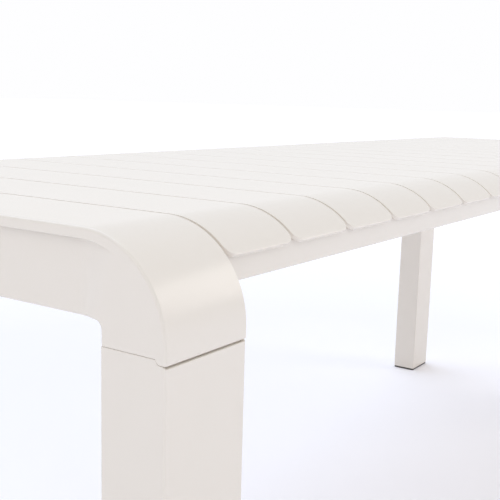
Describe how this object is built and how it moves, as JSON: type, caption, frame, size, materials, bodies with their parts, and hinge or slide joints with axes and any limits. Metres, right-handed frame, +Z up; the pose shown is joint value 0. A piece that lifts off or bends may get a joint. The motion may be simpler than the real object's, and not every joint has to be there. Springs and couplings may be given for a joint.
{
  "type": "garden bench",
  "caption": "Backless outdoor bench with transverse slats that bend down over the long sides and end slats that run smoothly into flat rectangular legs.",
  "frame": {"origin": "centre of the footprint on the floor, under the middle of the seat", "axes": "+X along the bench's length, +Y across its depth, +Z up; the slats run along Y"},
  "size_m": [1.3, 0.45, 0.45],
  "materials": {
    "slat_coat": "off-white fine-texture powder coat on bent aluminium strip",
    "frame_coat": "off-white fine-texture powder coat on extruded aluminium tube",
    "casting_coat": "off-white fine-texture powder coat on cast aluminium",
    "stainless": "turned and rolled stainless steel",
    "nylon": "moulded dark grey nylon"
  },
  "bodies": {
    "root": {"centre_rail": "frame_coat", "corner_back_left": "casting_coat", "corner_back_right": "casting_coat", "corner_front_left": "casting_coat", "corner_front_right": "casting_coat", "end_beam_left": "frame_coat", "end_beam_right": "frame_coat", "end_slat_left": "slat_coat", "end_slat_right": "slat_coat", "glide_back_left": "nylon", "glide_back_right": "nylon", "glide_front_left": "nylon", "glide_front_right": "nylon", "leg_back_left": "frame_coat", "leg_back_right": "frame_coat", "leg_bolt_washers": "stainless", "leg_bolts": "stainless", "leg_front_left": "frame_coat", "leg_front_right": "frame_coat", "leg_insert_nuts": "stainless", "side_rail_back": "frame_coat", "side_rail_front": "frame_coat", "slat_01": "slat_coat", "slat_02": "slat_coat", "slat_03": "slat_coat", "slat_04": "slat_coat", "slat_05": "slat_coat", "slat_06": "slat_coat", "slat_07": "slat_coat", "slat_08": "slat_coat", "slat_09": "slat_coat", "slat_10": "slat_coat", "slat_11": "slat_coat", "slat_12": "slat_coat", "slat_13": "slat_coat", "slat_14": "slat_coat", "slat_15": "slat_coat", "slat_16": "slat_coat", "slat_17": "slat_coat", "slat_18": "slat_coat", "spigot_back_left": "frame_coat", "spigot_back_right": "frame_coat", "spigot_front_left": "frame_coat", "spigot_front_right": "frame_coat"}
  },
  "joints": []
}
